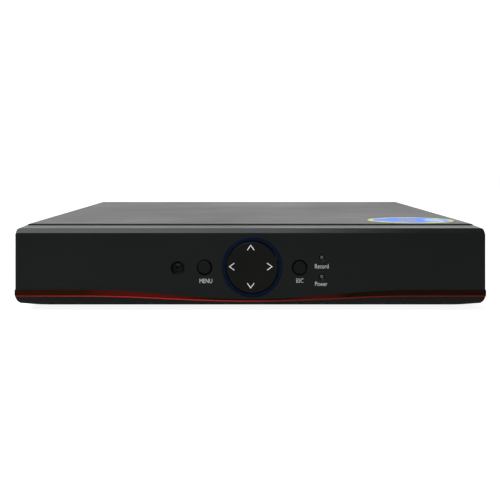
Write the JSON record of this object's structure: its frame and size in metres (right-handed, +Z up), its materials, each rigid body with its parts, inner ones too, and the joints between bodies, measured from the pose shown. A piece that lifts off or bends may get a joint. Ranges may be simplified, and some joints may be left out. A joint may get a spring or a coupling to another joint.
{
  "type": "dvr recorder",
  "caption": "Compact video recorder: matt black moulded front with a direction pad, two round keys and a wavy red strip, grey folded steel case, rear sockets.",
  "frame": {"origin": "on the table under the middle of the whole object, at the undersides of the feet", "axes": "+X across the width, to the viewer's right; +Y from the front panel to the rear wall; +Z up"},
  "size_m": [0.2572, 0.232, 0.046],
  "materials": {
    "panel_black": "fine-grained matt black moulding",
    "trim_red": "dark red translucent, polished",
    "ring_blue": "dark blue translucent",
    "key_black": "matt black",
    "nylon_white": "natural nylon",
    "ir_dark": "dark infrared-pass resin",
    "led_clear": "water-clear resin",
    "board_green": "solder mask",
    "switch_black": "moulded",
    "screw_zinc": "zinc plated",
    "screw_black": "black oxide",
    "cover_grey": "fine-textured grey paint",
    "tray_steel": "fine-textured grey paint",
    "foot_rubber": "matt",
    "label_print": "printed vinyl",
    "chip_black": "epoxy package",
    "heatsink_alu": "extruded",
    "capacitor_can": "sleeved can",
    "cell_steel": "stainless",
    "header_cream": "natural nylon",
    "socket_black": "moulded",
    "barrel_nickel": "nickel plated",
    "contact_gold": "gold flash",
    "shell_tin": "tin plated",
    "insert_blue": "moulded",
    "drive_cast": "cast, coated",
    "drive_lid": "pressed",
    "disc_mirror": "polished",
    "cable_grey": "vinyl",
    "cable_red": "vinyl",
    "cable_black": "vinyl",
    "plunger_red": "moulded"
  },
  "bodies": {
    "case": {"front_panel": "panel_black", "red_trim_strip": "trim_red", "dpad_ring": "ring_blue", "ir_receiver": "ir_dark", "record_led": "led_clear", "power_led": "led_clear", "key_board": "board_green", "key_switches": "switch_black", "key_board_screws": "screw_zinc", "top_cover": "cover_grey", "base_tray": "tray_steel", "cover_screws": "screw_black", "rubber_feet": "foot_rubber", "cover_label": "label_print", "main_board": "board_green", "inside_screws": "screw_zinc", "processor": "chip_black", "board_chips": "chip_black", "heatsink": "heatsink_alu", "capacitors": "capacitor_can", "cell_holder": "switch_black", "coin_cell": "cell_steel", "buzzer": "switch_black", "board_headers": "header_cream", "bnc_housing": "socket_black", "bnc_barrels": "barrel_nickel", "bnc_insulators": "nylon_white", "bnc_contacts": "contact_gold", "audio_housing": "socket_black", "audio_shells": "barrel_nickel", "monitor_shell": "shell_tin", "monitor_insert": "insert_blue", "monitor_jackscrews": "barrel_nickel", "hd_video_shell": "shell_tin", "hd_video_tongue": "socket_black", "lan_shield": "shell_tin", "lan_insert": "socket_black", "usb_shell": "shell_tin", "usb_tongues": "socket_black", "dc_jack": "socket_black", "dc_pin": "barrel_nickel", "hdd_base": "drive_cast", "hdd_lid": "drive_lid", "hdd_board": "board_green", "key_cable": "cable_grey", "data_cable": "cable_red", "power_cable": "cable_black", "cable_plugs": "socket_black"},
    "pad_gimbal": {"dpad_gimbal": "nylon_white"},
    "pad": {"dpad_cap": "key_black"},
    "menu_key": {"menu_button": "key_black", "menu_plunger": "plunger_red"},
    "esc_key": {"esc_button": "key_black", "esc_plunger": "plunger_red"},
    "discs": {"hdd_platters": "disc_mirror"},
    "arm": {"hdd_actuator": "heatsink_alu"},
    "up_key": {"up_plunger": "plunger_red"},
    "down_key": {"down_plunger": "plunger_red"},
    "left_key": {"left_plunger": "plunger_red"},
    "right_key": {"right_plunger": "plunger_red"}
  },
  "joints": [
    {"name": "pad_rock_up_down", "type": "hinge", "parent": "case", "child": "pad_gimbal", "pos_m": [0.001, -0.1104, 0.024], "axis": [1, 0, 0], "range_deg": [-1.4, 1.4], "stiffness_Nm_per_rad": 0.05},
    {"name": "pad_rock_left_right", "type": "hinge", "parent": "pad_gimbal", "child": "pad", "pos_m": [0.001, -0.1104, 0.024], "axis": [0, 0, 1], "range_deg": [-1.4, 1.4], "stiffness_Nm_per_rad": 0.05},
    {"name": "menu_press", "type": "slide", "parent": "case", "child": "menu_key", "axis": [0, 1, 0], "range_m": [0, 0.00025], "stiffness_N_per_m": 300},
    {"name": "esc_press", "type": "slide", "parent": "case", "child": "esc_key", "axis": [0, 1, 0], "range_m": [0, 0.00025], "stiffness_N_per_m": 300},
    {"name": "disc_spin", "type": "hinge", "parent": "case", "child": "discs", "pos_m": [-0.0672, -0.0362, 0.0065], "axis": [0, 0, 1], "continuous": true},
    {"name": "arm_swing", "type": "hinge", "parent": "case", "child": "arm", "pos_m": [-0.01, -0.063, 0.0065], "axis": [0, 0, 1], "range_deg": [0, 27]},
    {"name": "up_switch_press", "type": "slide", "parent": "case", "child": "up_key", "axis": [0, 1, 0], "range_m": [-0.00025, 0.00025]},
    {"name": "down_switch_press", "type": "slide", "parent": "case", "child": "down_key", "axis": [0, 1, 0], "range_m": [-0.00025, 0.00025]},
    {"name": "left_switch_press", "type": "slide", "parent": "case", "child": "left_key", "axis": [0, 1, 0], "range_m": [-0.00025, 0.00025]},
    {"name": "right_switch_press", "type": "slide", "parent": "case", "child": "right_key", "axis": [0, 1, 0], "range_m": [-0.00025, 0.00025]}
  ],
  "couplings": [
    {"joint": "up_switch_press", "follows": "pad_rock_up_down", "m_per_rad": -0.0085},
    {"joint": "down_switch_press", "follows": "pad_rock_up_down", "m_per_rad": 0.0085},
    {"joint": "right_switch_press", "follows": "pad_rock_left_right", "m_per_rad": 0.0085},
    {"joint": "left_switch_press", "follows": "pad_rock_left_right", "m_per_rad": -0.0085}
  ]
}
